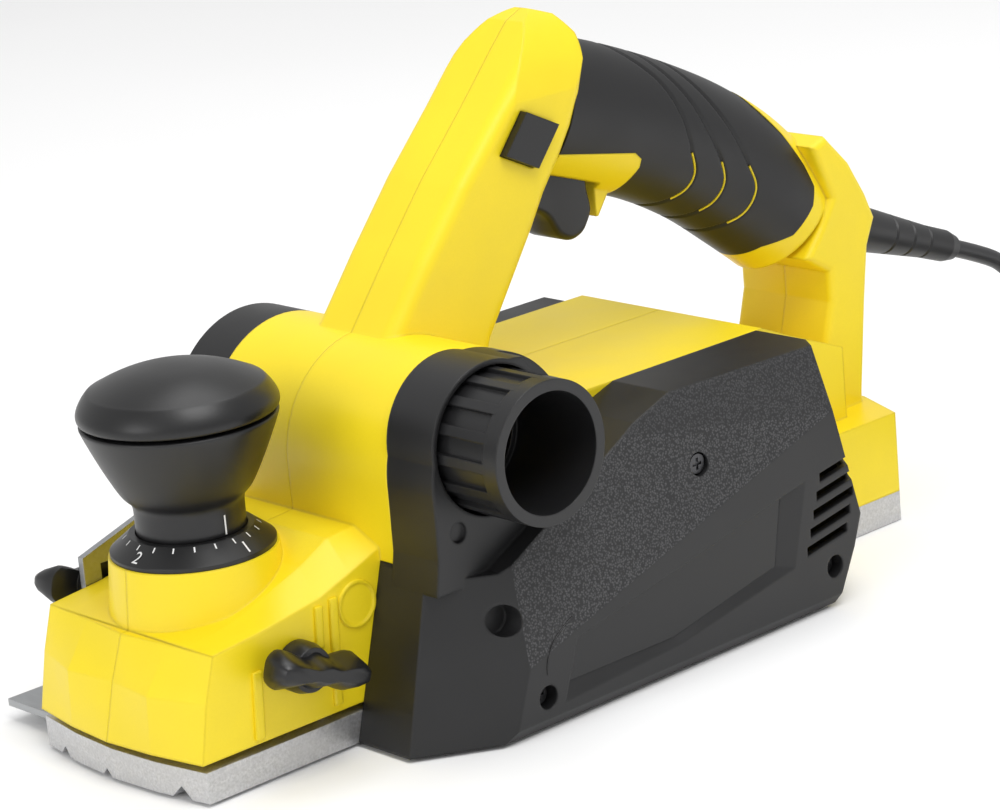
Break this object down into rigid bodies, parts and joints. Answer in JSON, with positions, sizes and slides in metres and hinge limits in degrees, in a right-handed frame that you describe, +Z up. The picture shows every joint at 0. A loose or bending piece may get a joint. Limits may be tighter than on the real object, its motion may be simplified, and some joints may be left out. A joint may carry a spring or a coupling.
{
  "type": "electric hand planer",
  "caption": "Hand-held electric planer with closed top handle, front depth-setting knob, side belt cover, chip outlet and aluminium sole.",
  "frame": {"origin": "on the rear sole's face plane, in the middle of the tool's footprint box, measured without the free lead, its coil and its plug", "axes": "+X forward in the planing direction, +Y to the belt cover's side, +Z up from the sole"},
  "size_m": [0.5072, 0.2116, 0.2055],
  "materials": {
    "shell_yellow": "fine-grained matte",
    "shell_black": "grained matte",
    "grip_rubber": "soft matte",
    "sole_metal": "ground casting",
    "steel": "plain",
    "screw_steel": "blackened",
    "black_part": "moulded",
    "panel_black": "satin panel",
    "port_black": "moulded",
    "dial_black": "moulded with white marks",
    "knob_black": "moulded",
    "knob_cap_black": "fine grained",
    "machined_alloy": "turned",
    "belt_rubber": "ribbed",
    "core_steel": "laminated",
    "copper": "plain",
    "trigger_black": "smooth",
    "button_black": "textured",
    "guard_rubber": "moulded",
    "lead_rubber": "sheath",
    "plug_rubber": "moulded",
    "stop_plate": "zinc plated",
    "wing_black": "moulded"
  },
  "bodies": {
    "planer_body": {"rear_sole": "sole_metal", "shoe_spring": "steel", "sole_screws": "screw_steel", "parking_foot_pin": "steel", "housing_left": "shell_yellow", "housing_right": "shell_yellow", "grip_sleeve": "grip_rubber", "belt_cover": "shell_black", "cover_panel": "panel_black", "cover_screws": "screw_steel", "side_cover_right": "shell_black", "dial_ring": "dial_black", "cutter_bearing_left": "steel", "cutter_bearing_right": "steel", "side_guard_pivot": "screw_steel", "drive_belt": "belt_rubber", "stator": "core_steel", "motor_bearing_left": "steel", "motor_bearing_right": "steel", "brush_holders": "copper", "carbon_brushes": "black_part", "switch_body": "black_part", "trigger_pin": "steel", "trigger_spring": "steel", "lock_spring": "steel", "cord_guard": "guard_rubber", "cord_clamp": "black_part", "mains_lead": "lead_rubber", "lead_coil": "lead_rubber", "lead_tail": "lead_rubber", "plug_body": "plug_rubber", "plug_pins": "copper"},
    "shoe": {"front_shoe": "sole_metal", "shoe_guides": "steel"},
    "depth_knob": {"knob_body": "knob_black", "knob_cap": "knob_cap_black", "knob_spindle": "steel"},
    "cutter": {"cutter_block": "machined_alloy", "knives": "steel", "knife_clamps": "steel", "knife_screws": "screw_steel", "cutter_pulley": "machined_alloy", "cutter_pulley_nut": "steel"},
    "armature": {"motor_shaft": "steel", "armature_core": "core_steel", "commutator": "copper", "motor_fan": "black_part", "motor_pulley": "machined_alloy"},
    "chip_outlet": {"chip_port": "port_black"},
    "trigger": {"trigger": "trigger_black"},
    "lock_button": {"lock_button": "button_black"},
    "side_guard": {"side_guard": "black_part"},
    "rebate_stop": {"depth_stop": "stop_plate"},
    "rebate_stop_knob": {"depth_stop_knob": "wing_black", "stop_bolt": "steel"},
    "guide_knob": {"guide_clamp_knob": "wing_black", "guide_bolt": "steel"},
    "parking_foot": {"parking_foot": "black_part"}
  },
  "joints": [
    {"name": "depth_knob_turn", "type": "hinge", "parent": "planer_body", "child": "depth_knob", "pos_m": [0.16217, -0.0111, 0.09], "axis": [0, 0, -1], "range_deg": [-90, 180]},
    {"name": "shoe_lift", "type": "slide", "parent": "planer_body", "child": "shoe", "axis": [0, 0, 1], "range_m": [-0.001, 0.002], "deforming": ["shoe_spring"]},
    {"name": "cutter_spin", "type": "hinge", "parent": "planer_body", "child": "cutter", "pos_m": [0.08757, -0.0111, 0.0242], "axis": [0, 1, 0], "continuous": true},
    {"name": "armature_spin", "type": "hinge", "parent": "planer_body", "child": "armature", "pos_m": [-0.00833, -0.0111, 0.05], "axis": [0, 1, 0], "continuous": true},
    {"name": "chip_outlet_pull", "type": "slide", "parent": "planer_body", "child": "chip_outlet", "axis": [0, 1, 0], "range_m": [0, 0.03]},
    {"name": "trigger_pull", "type": "hinge", "parent": "planer_body", "child": "trigger", "pos_m": [0.01467, -0.0111, 0.1525], "axis": [0, 1, 0], "range_deg": [0, 7], "stiffness_Nm_per_rad": 0.8, "springref_deg": -8.59, "deforming": ["trigger_spring"]},
    {"name": "lock_button_press", "type": "slide", "parent": "planer_body", "child": "lock_button", "axis": [0, -1, 0], "range_m": [0, 0.0028], "stiffness_N_per_m": 300, "springref_m": -0.002},
    {"name": "side_guard_swing", "type": "hinge", "parent": "planer_body", "child": "side_guard", "pos_m": [0.06667, -0.0581, 0.034], "axis": [0, -1, 0], "range_deg": [0, 35], "stiffness_Nm_per_rad": 0.02, "springref_deg": -22.92},
    {"name": "rebate_stop_slide", "type": "slide", "parent": "planer_body", "child": "rebate_stop", "axis": [0, 0, 1], "range_m": [-0.004, 0.0055]},
    {"name": "rebate_stop_knob_turn", "type": "hinge", "parent": "planer_body", "child": "rebate_stop_knob", "pos_m": [0.16567, -0.0611, 0.0445], "axis": [0, 1, 0], "range_deg": [-30, 180]},
    {"name": "guide_knob_turn", "type": "hinge", "parent": "planer_body", "child": "guide_knob", "pos_m": [0.15967, 0.0389, 0.034], "axis": [0, 1, 0], "range_deg": [-180, 30]},
    {"name": "parking_foot_swing", "type": "hinge", "parent": "planer_body", "child": "parking_foot", "pos_m": [-0.10633, -0.0111, 0.0042], "axis": [0, 1, 0], "range_deg": [0, 70]}
  ],
  "couplings": [
    {"joint": "depth_knob_turn", "follows": "shoe_lift", "rad_per_m": 1570.8},
    {"joint": "armature_spin", "follows": "cutter_spin", "ratio": 1.6842}
  ]
}
